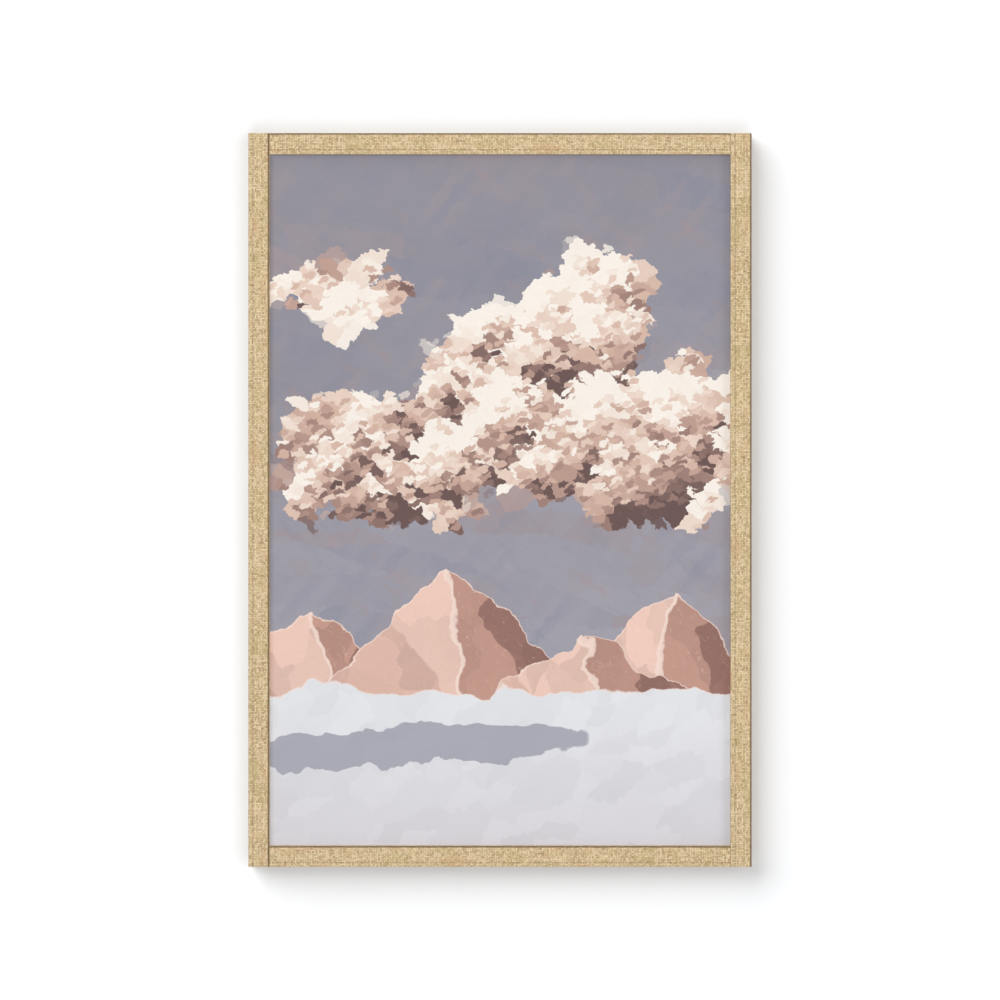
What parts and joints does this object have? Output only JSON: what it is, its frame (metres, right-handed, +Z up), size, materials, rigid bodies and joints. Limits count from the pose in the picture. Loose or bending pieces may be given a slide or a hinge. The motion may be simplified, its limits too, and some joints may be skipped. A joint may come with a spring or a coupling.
{
  "type": "framed picture",
  "caption": "Tall framed canvas picture in a flat linen-covered frame with butt joints, hung from a sawtooth hanger.",
  "frame": {"origin": "the point on the wall's surface where the wall nail bears in the middle notch of the sawtooth hanger", "axes": "+Z up along the picture's height, +Y into the wall, +X to the right seen from the front; the picture faces -Y and the wall is the plane y = 0"},
  "size_m": [0.6656, 0.039, 0.9704],
  "materials": {
    "gold_linen": "coarse woven linen, champagne gold",
    "frame_wood": "bare pine, planed",
    "printed_canvas": "matt printed cotton canvas, bare on the back",
    "stretcher_pine": "bare pine, planed",
    "dowel_beech": "bare beech",
    "zinc_steel": "zinc plated",
    "pad_rubber": "matt"
  },
  "bodies": {
    "root": {"frame_stile_left": "frame_wood", "frame_stile_right": "frame_wood", "frame_rail_top": "frame_wood", "frame_rail_bottom": "frame_wood", "linen_stile_left": "gold_linen", "linen_stile_right": "gold_linen", "linen_rail_top": "gold_linen", "linen_rail_bottom": "gold_linen", "dowel_top_left_front": "dowel_beech", "dowel_top_left_back": "dowel_beech", "dowel_top_right_front": "dowel_beech", "dowel_top_right_back": "dowel_beech", "dowel_bottom_left_front": "dowel_beech", "dowel_bottom_left_back": "dowel_beech", "dowel_bottom_right_front": "dowel_beech", "dowel_bottom_right_back": "dowel_beech", "canvas": "printed_canvas", "stretcher_left": "stretcher_pine", "stretcher_right": "stretcher_pine", "stretcher_top": "stretcher_pine", "stretcher_bottom": "stretcher_pine", "stretcher_brace": "stretcher_pine", "clip_top_1": "zinc_steel", "clip_top_2": "zinc_steel", "clip_right_1": "zinc_steel", "clip_right_2": "zinc_steel", "clip_bottom_1": "zinc_steel", "clip_bottom_2": "zinc_steel", "clip_left_1": "zinc_steel", "clip_left_2": "zinc_steel", "clip_screw_top_1": "zinc_steel", "clip_screw_top_2": "zinc_steel", "clip_screw_right_1": "zinc_steel", "clip_screw_right_2": "zinc_steel", "clip_screw_bottom_1": "zinc_steel", "clip_screw_bottom_2": "zinc_steel", "clip_screw_left_1": "zinc_steel", "clip_screw_left_2": "zinc_steel", "sawtooth_hanger": "zinc_steel", "hanger_nail_left": "zinc_steel", "hanger_nail_right": "zinc_steel", "wall_pad_left": "pad_rubber", "wall_pad_right": "pad_rubber"}
  },
  "joints": []
}
